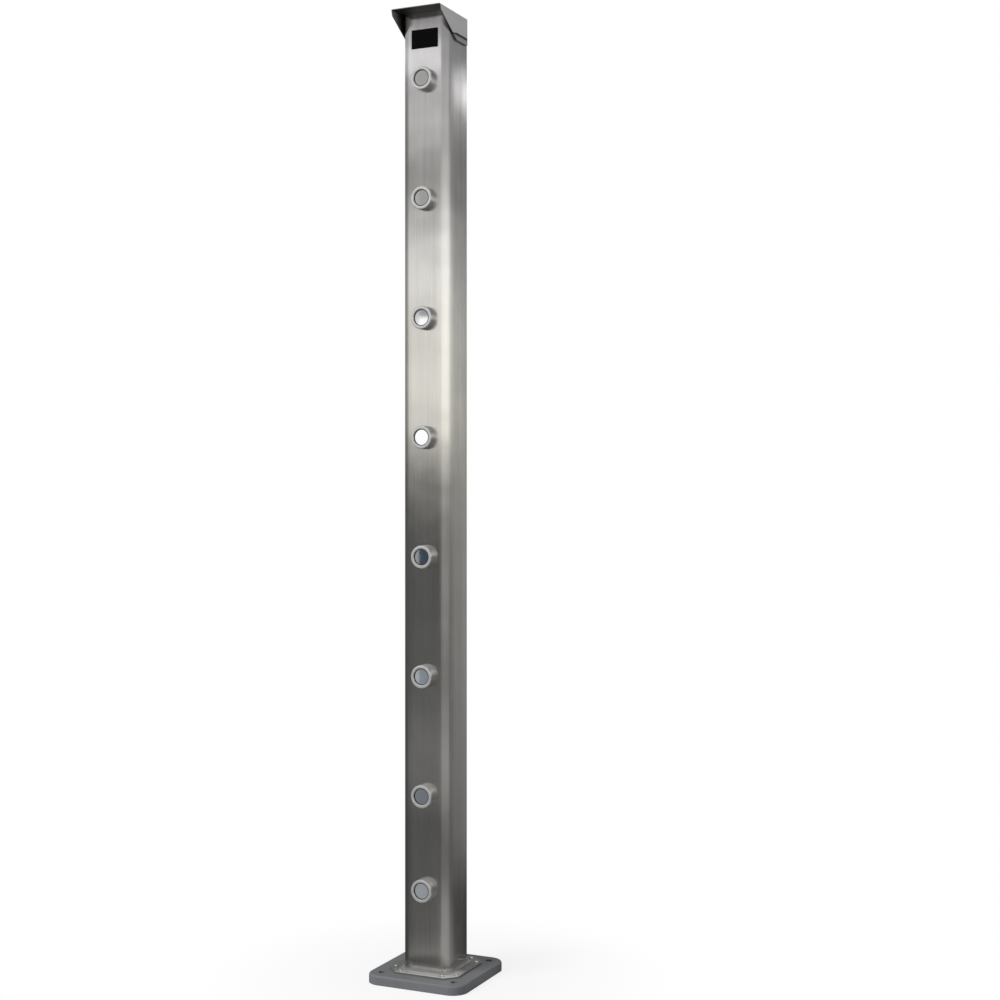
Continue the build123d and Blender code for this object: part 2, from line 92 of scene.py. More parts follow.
# Camera, at the photograph's angle
camera = {
    "lens": 58.18,
    "sensor": 36.0,
    "place": (1.1817, -2.3292, 0.7858),
    "turn": 0.43,
    "shiftY": -0.0112,
}
cameraData = bpy.data.cameras.new("camera")
cameraData.lens = camera["lens"]
cameraData.sensor_width = camera["sensor"]
cameraData.shift_y = camera["shiftY"]
cameraObject = bpy.data.objects.new("camera", cameraData)
cameraObject.location = camera["place"]
cameraObject.rotation_euler = (math.pi / 2, 0, camera["turn"])
bpy.context.scene.collection.objects.link(cameraObject)
bpy.context.scene.camera = cameraObject
bpy.context.scene.view_settings.view_transform = "Standard"
print("camera set")

# World: plain light, and white for the camera, metal and glass
studio = {
    "worldLight": 0.42,
    "lampAim": (0, 0, 0.7),
    "keyLamp": {"place": (-1.55, -2.45, 2.2), "size": 1.6, "power": 118.0},
    "fillLamp": {"place": (2.4, 0.6, 2.0), "size": 1.8, "power": 3.0},
}
world = bpy.data.worlds.new("studio")
bpy.context.scene.world = world
world.use_nodes = True
tree = world.node_tree
tree.nodes.clear()
plain = addNode(tree, "Background", {"Color": grey(1.0), "Strength": studio["worldLight"]})
white = addNode(tree, "Background", {"Color": grey(1.0), "Strength": 1.0})
mixed = addNode(tree, "MixShader", {0: seenDirectly(tree), 1: plain, 2: white})
addNode(tree, "OutputWorld", {"Surface": mixed})

# Soft lamps: the key from the front left, and a weak fill from the right
for lampName in ("keyLamp", "fillLamp"):
    lamp = studio[lampName]
    lampData = bpy.data.lights.new(lampName, "AREA")
    lampData.shape = "SQUARE"
    lampData.size = lamp["size"]
    lampData.energy = lamp["power"]
    lampObject = bpy.data.objects.new(lampName, lampData)
    lampObject.location = lamp["place"]
    away = Vector(lamp["place"]) - Vector(studio["lampAim"])
    lampObject.rotation_euler = away.to_track_quat("Z", "Y").to_euler()
    lampObject.visible_glossy = False  # metal sees the surround instead
    bpy.context.scene.collection.objects.link(lampObject)

# Floor: pale, with the soft shadow of the object, white further out
floorLook = {
    "size": 14.0,
    "brightness": 0.66,
    "near": 0.1,             # metres off the middle, where white has its least share
    "far": 0.42,             # and where it is all white
    "whiteNear": 0.84,
}
bpy.ops.object.select_all(action="DESELECT")
bpy.ops.mesh.primitive_plane_add(size=floorLook["size"], location=(0, 0, 0))
floor = bpy.context.object
floor.name = "floor"
floorMaterial, tree = newMaterial("paleFloor")
place = addNode(tree, "TexCoord")
distance = addNode(tree, "VectorMath", {0: place.outputs["Object"]}, operation="LENGTH")
whiteShare = addNode(tree, "MapRange", {
    "Value": distance.outputs["Value"],
    "From Min": floorLook["near"],
    "From Max": floorLook["far"],
    "To Min": floorLook["whiteNear"],
    "To Max": 1.0,
}, interpolation_type="SMOOTHSTEP")
share = addNode(tree, "Math", {0: seenDirectly(tree), 1: whiteShare}, operation="MULTIPLY")
lit = addNode(tree, "BsdfDiffuse", {"Color": grey(floorLook["brightness"])})
white = addNode(tree, "Emission", {"Color": grey(1.0), "Strength": 1.0})
mixed = addNode(tree, "MixShader", {0: share, 1: lit, 2: white})
addNode(tree, "OutputMaterial", {"Surface": mixed})
floor.data.materials.append(floorMaterial)

# Surround that only reflections see: soft boxes in front, darker studio elsewhere.
# Its tones run up a round wall and out along a mat on the floor.
surround = {
    "radius": 2.45,
    "top": 3.2,
    "middleY": -0.05,
    "corners": 128,
    "matHeight": 0.0004,
}
# of the wall: height as a share of the top, and brightness or colour
wallTones = {
    "front": (
        (0.0, 0.21), (0.05, 0.13), (0.21, 0.115), (0.262, 0.38), (0.285, 0.48), (0.298, 1.1),
        (0.36, 1.24), (0.40, 1.02), (0.44, 1.42), (0.46, 1.45), (0.505, 0.8), (0.548, 0.34),
        (0.572, 0.4), (0.590, 0.9), (0.606, 1.28), (0.619, 0.62), (0.634, 0.26), (0.645, 0.5),
        (0.655, 2.1), (0.668, 2.4), (0.680, 0.9), (0.690, 0.34), (0.70, 0.44), (0.72, 0.2),
    ),
    "right": (
        (0.0, 0.46), (0.06, 0.27), (0.15, 0.42), (0.22, 0.3), (0.26, 0.6), (0.29, 1.05),
        (0.31, 1.65), (0.38, 1.55), (0.41, 1.5), (0.46, 1.72), (0.52, 1.0), (0.57, 0.62),
        (0.60, 0.72), (0.64, 0.72), (0.66, 0.6), (0.69, 0.4), (0.70, 0.36),
    ),
    "gap": (
        (0.0, 0.2), (0.14, 0.22), (0.22, 0.27), (0.26, 0.45), (0.31, 1.0), (0.46, 1.1),
        (0.53, 0.45), (0.60, 0.4), (0.70, 0.3),
    ),
    "rear": (
        (0.0, 0.28), (0.10, 0.31), (0.235, 0.38), (0.27, 0.46), (0.31, 0.57), (0.385, 0.52),
        (0.44, 0.4), (0.487, 0.3), (0.53, 0.2), (0.58, 0.26), (0.606, 0.42), (0.622, 0.95),
        (0.634, 1.45), (0.645, 0.75), (0.66, 0.24), (0.69, 0.36), (0.70, 0.5),
    ),
    "end": (
        (0.0, 0.33), (0.10, 0.4), (0.235, 0.43), (0.31, 0.53), (0.385, 0.54), (0.44, 0.49),
        (0.487, 0.37), (0.53, 0.25), (0.58, 0.31), (0.603, 0.5), (0.617, 1.35), (0.628, 2.3),
        (0.640, 0.95), (0.655, 0.24), (0.69, 0.34), (0.70, 0.5),
    ),
    "left": (
        (0.0, 0.1), (0.25, 0.12), (0.32, 0.34), (0.45, 0.4), (0.55, 0.2), (0.61, 0.3),
        (0.64, 0.3), (0.665, 1.1), (0.69, 0.3),
    ),
    # what the eight windows see in their narrow direction
    "window": (
        (0.0, (0.30, 0.33, 0.36)), (0.10, (0.25, 0.28, 0.31)), (0.15, (0.055, 0.076, 0.1)),
        (0.22, (0.055, 0.076, 0.1)), (0.275, 0.2), (0.286, 1.28), (0.411, 1.28),
        (0.4125, 0.38), (0.60, (0.46, 0.46, 0.42)), (0.70, 0.4),
    ),
    # and the left rim of each window
    "rim": (
        (0.0, (0.46, 0.47, 0.49)), (0.10, (0.48, 0.49, 0.51)), (0.15, (0.36, 0.37, 0.38)),
        (0.22, (0.36, 0.37, 0.38)), (0.275, 0.3), (0.286, 1.28), (0.402, 1.28), (0.412, 0.7),
        (0.45, 0.4), (0.50, (0.52, 0.52, 0.48)), (0.60, (0.47, 0.47, 0.44)), (0.70, 0.42),
    ),
}
# tint of the wall's light by height
wallTint = (
    (0.0, (1.0, 1.0, 1.0)), (0.2, (1.0, 1.0, 0.99)), (0.28, (1.01, 1.0, 0.95)),
    (0.405, (1.0, 1.0, 0.955)), (0.45, (1.0, 1.0, 1.0)), (0.6, (1.0, 1.0, 1.02)),
    (0.66, (1.0, 1.0, 1.06)),
)
# of the mat: distance as a share of the radius, and brightness or colour
matTones = {
    "front": (
        (0.05, 0.09), (0.065, 0.3), (0.08, 0.2), (0.12, 0.14), (0.2, 0.115), (0.31, 0.12),
        (0.45, 0.11), (0.60, 0.14), (0.8, 0.24),
    ),
    "right": (
        (0.05, 0.26), (0.07, 0.48), (0.2, 0.4), (0.29, 0.25), (0.42, 0.18), (0.55, 0.3),
        (0.8, 0.46),
    ),
    "gap": ((0.05, 0.3), (0.15, 0.26), (0.25, 0.15), (0.42, 0.14), (0.6, 0.18), (0.8, 0.2)),
    "rear": (
        (0.04, 0.085), (0.07, 0.07), (0.12, 0.055), (0.19, 0.055), (0.25, 0.08), (0.31, 0.14),
        (0.42, 0.21), (0.5, 0.24), (0.8, 0.27),
    ),
    "end": (
        (0.04, 0.085), (0.12, 0.055), (0.25, 0.08), (0.31, 0.14), (0.42, 0.23), (0.5, 0.27),
        (0.8, 0.31),
    ),
    "left": ((0.04, 0.08), (0.4, 0.08), (0.8, 0.1)),
    "window": (
        (0.1, (0.355, 0.365, 0.385)), (0.35, (0.355, 0.365, 0.385)),
        (0.5, (0.185, 0.195, 0.22)), (0.8, (0.2, 0.215, 0.24)),
    ),
    "rim": (
        (0.1, (0.36, 0.37, 0.39)), (0.35, (0.36, 0.37, 0.39)), (0.5, (0.2, 0.21, 0.235)),
        (0.8, (0.22, 0.235, 0.26)),
    ),
}
# where a side's tones start to cover the ones before, and where they are full: radians
# round the middle, 0 at +X, and the camera stands at -1.1. The front's come first.
sideBlends = (
    ("right", -1.78, -1.35),
    ("gap", 0.1, 0.5),
    ("rear", 0.7, 1.04),
    ("end", 1.1, 1.28),
    ("left", 1.75, 2.1),
    ("left", -2.3, -2.85),
)
# upright strips over all of them: middle and half their width, in radians too
strips = (("window", -2.049, 0.024), ("rim", -2.059, 0.007))


def toneColour(tone):
    return list(tone) + [1.0] if isinstance(tone, tuple) else grey(tone)


def setStops(ramp, stops):
    elements = ramp.color_ramp.elements
    while len(elements) > 1:
        elements.remove(elements[-1])
    elements[0].position = stops[0][0]
    elements[0].color = toneColour(stops[0][1])
    for place, tone in stops[1:]:
        elements.new(place).color = toneColour(tone)
    return ramp.outputs["Color"]


def surroundMaterial(name, sideTones, tint):
    material, tree = newMaterial(name)
    place = addNode(tree, "TexCoord")
    centred = addNode(tree, "Mapping", {
        "Vector": place.outputs["Object"],
        "Location": (0, -surround["middleY"], 0),
    })
    axes = addNode(tree, "SeparateXYZ", {0: centred})
    if tint:
        along, whole = axes.outputs["Z"], surround["top"]
    else:
        distance = addNode(tree, "VectorMath", {0: centred}, operation="LENGTH")
        along, whole = distance.outputs["Value"], surround["radius"]
    along = addNode(tree, "Math", {0: along, 1: whole}, operation="DIVIDE")
    tones = {}
    for side, stops in sideTones.items():
        tones[side] = setStops(addNode(tree, "ValToRGB", {0: along}), stops)
    angle = addNode(tree, "Math", {
        0: axes.outputs["Y"],
        1: axes.outputs["X"],
    }, operation="ARCTAN2")
    colour = tones["front"]
    for side, start, end in sideBlends:
        mask = addNode(tree, "MapRange", {
            "Value": angle,
            "From Min": start,
            "From Max": end,
        }, interpolation_type="SMOOTHSTEP")
        mix = addNode(tree, "Mix", {0: mask, 6: colour, 7: tones[side]}, data_type="RGBA")
        colour = mix.outputs[2]
    if tint:
        light = setStops(addNode(tree, "ValToRGB", {0: along}), tint)
        tinted = addNode(tree, "Mix", {
            0: 1.0,
            6: colour,
            7: light,
        }, data_type="RGBA", blend_type="MULTIPLY")
        colour = tinted.outputs[2]
    for side, middle, half in strips:
        mask = addNode(tree, "Math", {0: angle, 1: middle, 2: half}, operation="COMPARE")
        mix = addNode(tree, "Mix", {0: mask, 6: colour, 7: tones[side]}, data_type="RGBA")
        colour = mix.outputs[2]
    glow = addNode(tree, "Emission", {"Color": colour, "Strength": 1.0})
    addNode(tree, "OutputMaterial", {"Surface": glow})
    material.cycles.emission_sampling = "NONE"
    return material


def onlyReflected(stagePiece, name, sideTones, tint=None):
    bpy.ops.object.transform_apply(location=True, rotation=False, scale=False)
    stagePiece.name = name
    stagePiece.data.materials.append(surroundMaterial(name, sideTones, tint))
    for ray in ("camera", "diffuse", "transmission", "volume_scatter", "shadow"):
        setattr(stagePiece, "visible_" + ray, False)


bpy.ops.object.select_all(action="DESELECT")
bpy.ops.mesh.primitive_cylinder_add(
    vertices=surround["corners"],
    radius=surround["radius"],
    depth=surround["top"],
    end_fill_type="NOTHING",
    location=(0, surround["middleY"], surround["top"] / 2),
)
onlyReflected(bpy.context.object, "surroundWall", wallTones, wallTint)
bpy.ops.object.select_all(action="DESELECT")
bpy.ops.mesh.primitive_circle_add(
    vertices=surround["corners"],
    radius=surround["radius"],
    fill_type="NGON",
    location=(0, surround["middleY"], surround["matHeight"]),
)
onlyReflected(bpy.context.object, "surroundMat", matTones)
print("studio built")


# Brushed stainless sheet, 1.4301, belt-ground in one direction: the grind stretches
# reflections across its lines, and the sheet is never quite flat.
brushed = {
    "colour": "#CCCAC6",
    "darker": "#BFBDB9",
    "pickled": "#B4B4B3",    # acid-cleaned after welding
    "pickledDarker": "#A2A2A1",
    "ledgeGrey": "#A09F9E",       # darker grey for the ledges
    "ledgeGreyDarker": "#908F8E",
    "colourSpan": (0.38, 0.62),     # of the pattern, from the darker to the paler colour
    "roughness": 0.21,
    "roughnessSpread": 0.06,
    "roughnessSpan": (0.3, 0.7),    # of the pattern, over that spread
    "anisotropy": 0.94,
    "hazeLoss": 2.5,         # anisotropy lost for each 1 of haze
    "lineWidth": 0.0011,     # real grind lines are 0.1 mm, drawn coarser to show
    "lineLength": 0.06,
    "lineDetail": 3.0,
    "lineDepth": 0.000008,
    "bandWidth": 0.0065,     # passes of the belt
    "bandLength": 0.4,
    "bandDetail": 2.0,
    "bandShare": 0.6,        # the lines have the rest
    "cloudSize": 0.06,
    "cloudShare": 0.4,
    "wave": 0.0007,          # out of flat
    "waveSize": 0.08,
    "edgeRadius": 0.0006,
}
# walls of a drawn square tube crown towards their corners: metres off the middle, bend
crown = {"X": (0.0195, 9.0), "Y": (0.010, 4.8)}
# painted shade, and duller, where the sheet is not ground: the hood's inside and edges,
# darkest on faces that look down, the ledges' faces that do not look sideways, the flange's
# cut sides
millSkin = {"upright": "#9C9B99", "under": "#4A4948", "roughness": 0.46}
# painted shade on the ledges' faces that do not look sideways
cutEdge = {"upright": "#55544F", "under": "#74736E", "roughness": 0.5}
# painted shade on the flange's cut sides
flangeEdge = {"upright": "#8D8B87", "under": "#8D8B87", "roughness": 0.5}
# painted light on the flange: brightest in front, darker away from there
cleaned = {
    "middle": (0.015, -0.06, 0.018),
    "from": 0.042,
    "to": 0.068,
    "most": 1.6,
    "least": 0.64,
}
# how far a face has to turn to count: up, back, sideways, level, and from upright to
# under. A cheek's outside counts by its turn times its metres off the middle.
faceTurns = {
    "cheek": 0.02,
    "top": 0.3,
    "back": 0.5,
    "side": 0.6,
    "level": 0.6,
    "under": (-0.1, -0.35),
}


# 1 on the ground side of the hood: its top, its back and the outside of its cheeks; the rest
#                                   gets painted shade
def outsideOfHood(tree, axes, normal):
    outward = addNode(tree, "Math", {
        0: axes.outputs["X"],
        1: normal.outputs["X"],
    }, operation="MULTIPLY")
    either = None
    for value, part in (
        (outward.outputs[0], "cheek"),
        (normal.outputs["Z"], "top"),
        (normal.outputs["Y"], "back"),
    ):
        found = addNode(tree, "Math", {0: value, 1: faceTurns[part]}, operation="GREATER_THAN")
        if either:
            found = addNode(tree, "Math", {0: either, 1: found}, operation="MAXIMUM")
        either = found
    return either


# 1 on faces that look sideways
def sideFace(tree, axes, normal):
    across = addNode(tree, "Math", {0: normal.outputs["X"]}, operation="ABSOLUTE")
    return addNode(tree, "Math", {0: across, 1: faceTurns["side"]}, operation="GREATER_THAN")


# 1 on level faces
def levelFace(tree, axes, normal):
    return addNode(tree, "Math", {
        0: normal.outputs["Z"],
        1: faceTurns["level"],
    }, operation="GREATER_THAN")


# The sheet with its grain along one axis. Where whereGround gives 0 it takes the painted shade
# and the duller roughness of the table it is given for that, and the painted-light table makes
# it brighter near a place and darker away from it.
def brushedStainless(
    name, grain, metallic=1.0, pair=("darker", "colour"), haze=0.0, crowned=False,
    dull=None, whereGround=None, fade=None,
):
    material, tree = newMaterial(name)
    place = addNode(tree, "TexCoord").outputs["Object"]
    axes = addNode(tree, "SeparateXYZ", {0: place})
    patterns = []
    for part in ("line", "band"):
        scale = [1 / brushed[part + "Width"]] * 3
        scale["XYZ".index(grain)] = 1 / brushed[part + "Length"]
        stretched = addNode(tree, "Mapping", {"Vector": place, "Scale": scale})
        patterns.append(addNode(tree, "TexNoise", {
            "Vector": stretched,
            "Scale": 1.0,
            "Detail": brushed[part + "Detail"],
            "Roughness": 0.6,
        }))
    lines, bands = patterns
    cloud = addNode(tree, "TexNoise", {
        "Vector": place,
        "Scale": 1 / brushed["cloudSize"],
        "Detail": 3.0,
    })
    wave = addNode(tree, "TexNoise", {
        "Vector": place,
        "Scale": 1 / brushed["waveSize"],
        "Detail": 1.0,
    })
    streak = addNode(tree, "Mix", {
        0: brushed["bandShare"],
        2: lines,
        3: bands,
    }, data_type="FLOAT")
    tone = addNode(tree, "Mix", {
        0: brushed["cloudShare"],
        2: streak,
        3: cloud,
    }, data_type="FLOAT")
    spread = addNode(tree, "MapRange", {
        "Value": tone,
        "From Min": brushed["colourSpan"][0],
        "From Max": brushed["colourSpan"][1],
    })
    colour = addNode(tree, "Mix", {
        0: spread,
        6: toLinear(brushed[pair[0]]),
        7: toLinear(brushed[pair[1]]),
    }, data_type="RGBA").outputs[2]
    # painted light: the colour is scaled up near a place and down away from it
    if fade:
        away = addNode(tree, "VectorMath", {0: place, 1: fade["middle"]}, operation="DISTANCE")
        shade = addNode(tree, "MapRange", {
            "Value": away.outputs["Value"],
            "From Min": fade["from"],
            "From Max": fade["to"],
            "To Min": fade["most"],
            "To Max": fade["least"],
        }, interpolation_type="SMOOTHSTEP")
        shaded = addNode(tree, "VectorMath", {0: colour, "Scale": shade}, operation="SCALE")
        colour = shaded.outputs[0]
    low = brushed["roughness"] + haze - brushed["roughnessSpread"] / 2
    rough = addNode(tree, "MapRange", {
        "Value": tone,
        "From Min": brushed["roughnessSpan"][0],
        "From Max": brushed["roughnessSpan"][1],
        "To Min": low,
        "To Max": low + brushed["roughnessSpread"],
    })
    if dull:
        facing = addNode(tree, "NewGeometry")
        normal = addNode(tree, "SeparateXYZ", {0: facing.outputs["Normal"]})
        ground = whereGround(tree, axes, normal)
        under = addNode(tree, "MapRange", {
            "Value": normal.outputs["Z"],
            "From Min": faceTurns["under"][0],
            "From Max": faceTurns["under"][1],
        })
        # painted shade: the upright and the under colour, mixed by how far the face looks down
        skin = addNode(tree, "Mix", {
            0: under,
            6: toLinear(dull["upright"]),
            7: toLinear(dull["under"]),
        }, data_type="RGBA").outputs[2]
        both = addNode(tree, "Mix", {0: ground, 6: skin, 7: colour}, data_type="RGBA")
        colour = both.outputs[2]
        rough = addNode(tree, "Mix", {
            0: ground,
            2: dull["roughness"],
            3: rough,
        }, data_type="FLOAT")
    base = addNode(tree, "Bevel", {"Radius": brushed["edgeRadius"]}, samples=4)
    if crowned:
        squares = []
        for axis, (flat, bend) in crown.items():
            off = addNode(tree, "Math", {0: axes.outputs[axis]}, operation="ABSOLUTE")
            off = addNode(tree, "Math", {0: off, 1: flat}, operation="SUBTRACT")
            off = addNode(tree, "Math", {0: off, 1: 0.0}, operation="MAXIMUM")
            off = addNode(tree, "Math", {0: off, 1: 2.0}, operation="POWER")
            squares.append(addNode(tree, "Math", {0: off, 1: bend}, operation="MULTIPLY"))
        drop = addNode(tree, "Math", {0: squares[0], 1: squares[1]}, operation="ADD")
        base = addNode(tree, "Bump", {
            "Height": drop,
            "Distance": 1.0,
            "Strength": 1.0,
            "Normal": base,
        }, invert=True)
    flatness = addNode(tree, "Bump", {
        "Height": wave,
        "Distance": brushed["wave"],
        "Strength": 1.0,
        "Normal": base,
    })
    grind = addNode(tree, "Bump", {
        "Height": streak,
        "Distance": brushed["lineDepth"],
        "Strength": 1.0,
        "Normal": flatness,
    })
    shader = addNode(tree, "BsdfPrincipled", {
        "Base Color": colour,
        "Metallic": metallic,
        "Roughness": rough,
        "Anisotropic": brushed["anisotropy"] - brushed["hazeLoss"] * haze,
        "Tangent": addNode(tree, "Tangent", direction_type="RADIAL", axis=grain),
        "Normal": grind,
    })
    addNode(tree, "OutputMaterial", {"Surface": shader})
    return material


# Cast iron with a polyester powder coat: a fine orange peel and a satin sheen
enamel = {
    "colour": "#65676A",
    "lighter": "#6D6F72",
    "roughness": 0.36,
    "roughnessSpread": 0.06,
    "peelSize": 0.0022,
    "peelDepth": 0.00004,
    "cloudSize": 0.04,
    "edgeRadius": 0.0006,
}


def powderCoat(name):
    material, tree = newMaterial(name)
    place = addNode(tree, "TexCoord").outputs["Object"]
    peel = addNode(tree, "TexNoise", {
        "Vector": place,
        "Scale": 1 / enamel["peelSize"],
        "Detail": 2.0,
    })
    cloud = addNode(tree, "TexNoise", {
        "Vector": place,
        "Scale": 1 / enamel["cloudSize"],
        "Detail": 4.0,
    })
    colour = addNode(tree, "Mix", {
        0: cloud,
        6: toLinear(enamel["colour"]),
        7: toLinear(enamel["lighter"]),
    }, data_type="RGBA")
    rough = addNode(tree, "MapRange", {
        "Value": cloud,
        "To Min": enamel["roughness"] - enamel["roughnessSpread"],
        "To Max": enamel["roughness"] + enamel["roughnessSpread"],
    })
    bump = addNode(tree, "Bump", {
        "Height": peel,
        "Distance": enamel["peelDepth"],
        "Strength": 1.0,
        "Normal": addNode(tree, "Bevel", {"Radius": enamel["edgeRadius"]}, samples=4),
    })
    shader = addNode(tree, "BsdfPrincipled", {
        "Base Color": colour.outputs[2],
        "Roughness": rough,
        "IOR": 1.5,
        "Normal": bump,
    })
    addNode(tree, "OutputMaterial", {"Surface": shader})
    return material


# Scale of a wave texture whose lines are this far apart: at 1 it runs 20 radians a metre
def waveScale(pitch):
    return 2 * math.pi / (20 * pitch)


# Turned aluminium, anodised: the faced ring in front scatters more of the light, and
# the turned side mirrors its surroundings across fine lathe rings
turned = {
    "colour": "#D5D5D4",
    "darker": "#C6C6C5",
    # painted shade: the colour is scaled down on the faced ring and on the turned side
    "ringShade": 0.76,
    "sideShade": 0.8,
    "ringMetallic": 0.45,
    "sideMetallic": 0.94,
    "ringTurn": (-0.35, -0.75),     # how far a face looks to the front, from side to ring
    "roughness": (0.29, 0.38),
    "ringPitch": 0.0007,
    "ringDepth": 0.000012,
    "grainScale": 900.0,
    "grainShare": 0.5,
    "anisotropy": 0.4,
    "anisotropyTurn": 0.25,
    "edgeRadius": 0.0003,
}


def turnedAluminium(name, height):
    material, tree = newMaterial(name)
    place = addNode(tree, "TexCoord")
    centred = addNode(tree, "Mapping", {
        "Vector": place.outputs["Object"],
        "Location": (0, 0, -height),
    })
    rings = addNode(tree, "TexWave", {
        "Vector": centred,
        "Scale": waveScale(turned["ringPitch"]),
        "Distortion": 0.4,
        "Detail": 2.0,
    }, wave_type="RINGS", rings_direction="Y")
    grain = addNode(tree, "TexNoise", {
        "Vector": centred,
        "Scale": turned["grainScale"],
        "Detail": 2.0,
    })
    tone = addNode(tree, "Mix", {
        0: turned["grainShare"],
        2: rings.outputs["Fac"],
        3: grain,
    }, data_type="FLOAT")
    colour = addNode(tree, "Mix", {
        0: tone,
        6: toLinear(turned["darker"]),
        7: toLinear(turned["colour"]),
    }, data_type="RGBA")
    facing = addNode(tree, "NewGeometry")
    normal = addNode(tree, "SeparateXYZ", {0: facing.outputs["Normal"]})
    front = addNode(tree, "MapRange", {
        "Value": normal.outputs["Y"],
        "From Min": turned["ringTurn"][0],
        "From Max": turned["ringTurn"][1],
    })
    # painted shade, by which way the face looks
    shade = addNode(tree, "MapRange", {
        "Value": front,
        "To Min": turned["sideShade"],
        "To Max": turned["ringShade"],
    })
    shaded = addNode(tree, "VectorMath", {
        0: colour.outputs[2],
        "Scale": shade,
    }, operation="SCALE")
    metal = addNode(tree, "MapRange", {
        "Value": front,
        "To Min": turned["sideMetallic"],
        "To Max": turned["ringMetallic"],
    })
    rough = addNode(tree, "MapRange", {
        "Value": tone,
        "To Min": turned["roughness"][0],
        "To Max": turned["roughness"][1],
    })
    bump = addNode(tree, "Bump", {
        "Height": tone,
        "Distance": turned["ringDepth"],
        "Strength": 1.0,
        "Normal": addNode(tree, "Bevel", {"Radius": turned["edgeRadius"]}, samples=4),
    })
    shader = addNode(tree, "BsdfPrincipled", {
        "Base Color": shaded,
        "Metallic": metal,
        "Roughness": rough,
        "Anisotropic": turned["anisotropy"],
        "Anisotropic Rotation": turned["anisotropyTurn"],
        "Tangent": addNode(tree, "Tangent", direction_type="RADIAL", axis="Y"),
        "Normal": bump,
    })
    addNode(tree, "OutputMaterial", {"Surface": shader})
    return material


# Other finishes: each is one colour pair, a noise for its grain and a bump for its depth
def grainMaterial(name, finish):
    material, tree = newMaterial(name)
    place = addNode(tree, "TexCoord").outputs["Object"]
    if finish["cells"]:
        cells = addNode(tree, "TexVoronoi", {"Vector": place, "Scale": 1 / finish["size"]})
        grain = addNode(tree, "RGBToBW", {0: cells.outputs["Color"]})
    else:
        grain = addNode(tree, "TexNoise", {
            "Vector": place,
            "Scale": 1 / finish["size"],
            "Detail": 3.0,
        })
    colour = addNode(tree, "Mix", {
        0: grain,
        6: toLinear(finish["darker"]),
        7: toLinear(finish["colour"]),
    }, data_type="RGBA")
    rough = addNode(tree, "MapRange", {
        "Value": grain,
        "To Min": finish["roughness"] - finish["roughnessSpread"],
        "To Max": finish["roughness"] + finish["roughnessSpread"],
    })
    bump = addNode(tree, "Bump", {
        "Height": grain,
        "Distance": finish["depth"],
        "Strength": 1.0,
    })
    shader = addNode(tree, "BsdfPrincipled", {
        "Base Color": colour.outputs[2],
        "Metallic": finish["metallic"],
        "Roughness": rough,
        "IOR": finish["ior"],
        "Specular IOR Level": finish["specular"],
        "Normal": bump,
    })
    addNode(tree, "OutputMaterial", {"Surface": shader})
    return material


# what a finish has unless it says otherwise
usualFinish = {
    "metallic": 0.0,
    "ior": 1.5,
    "specular": 0.5,
    "roughnessSpread": 0.04,
    "cells": False,
}
finishes = {
    # float glass with a half-mirror coat: near a mirror, a trace of haze
    "coatedGlass": {
        "colour": "#E6E7E8", "darker": "#DFE0E2", "roughness": 0.026,
        "size": 0.006, "depth": 0.0000005, "metallic": 1.0,
    },
    # nitrile rubber, moulded: dull black with a faint bloom
    "nitrileRubber": {
        "colour": "#1C1C1D", "darker": "#141415", "roughness": 0.62,
        "size": 0.0015, "depth": 0.00002,
    },
    # stainless screws, cold headed and tumbled: bright, slightly worn
    "screwSteel": {
        "colour": "#E2E1DE", "darker": "#CCCBC8", "roughness": 0.16,
        "size": 0.001, "depth": 0.000004, "metallic": 1.0,
    },
    # smoked acrylic, polished, with a coat against glare: black gloss, faint reflections
    "smokedAcrylic": {
        "colour": "#060607", "darker": "#040405", "roughness": 0.07,
        "size": 0.02, "depth": 0.000001, "ior": 1.49, "specular": 0.06,
    },
    # glass-filled nylon, moulded: dark with a sparkled grain
    "filledNylon": {
        "colour": "#242526", "darker": "#191A1B", "roughness": 0.52,
        "size": 0.0012, "depth": 0.00003,
    },
    # turned brass: warm and satin
    "turnedBrass": {
        "colour": "#D1AC62", "darker": "#B8924A", "roughness": 0.28,
        "size": 0.0009, "depth": 0.00001, "metallic": 1.0,
    },
    # aluminium extrusion, anodised: cool satin grey
    "anodisedCase": {
        "colour": "#9A9DA1", "darker": "#8C8F94", "roughness": 0.38,
        "size": 0.0015, "depth": 0.00001, "metallic": 1.0,
    },
    # polyamide terminal body: light green-grey, eggshell
    "polyamide": {
        "colour": "#7E8C86", "darker": "#72807A", "roughness": 0.45,
        "size": 0.0015, "depth": 0.00002,
    },
    # galvanised sheet: zinc spangles 8 mm across
    "galvanised": {
        "colour": "#C6C9CB", "darker": "#9FA3A6", "roughness": 0.4,
        "size": 0.008, "depth": 0.00001, "metallic": 1.0, "cells": True,
    },
    # milled aluminium nuts: pale satin
    "milledAluminium": {
        "colour": "#CDCFD1", "darker": "#BDBFC1", "roughness": 0.33,
        "size": 0.0011, "depth": 0.00001, "metallic": 1.0,
    },
    # fibreglass board under green solder mask
    "solderMask": {
        "colour": "#1F6A45", "darker": "#12452C", "roughness": 0.33,
        "size": 0.003, "depth": 0.00003, "cells": True,
    },
}

# Weld bead, pickled: dull pale steel with ripples 1.8 mm apart
beadLook = {
    "colour": "#B0AFAD",
    "darker": "#9A9997",
    "metallic": 0.6,
    "roughness": 0.42,
    "ripplePitch": 0.0018,
    "rippleDepth": 0.0002,
    "grainScale": 500.0,
}


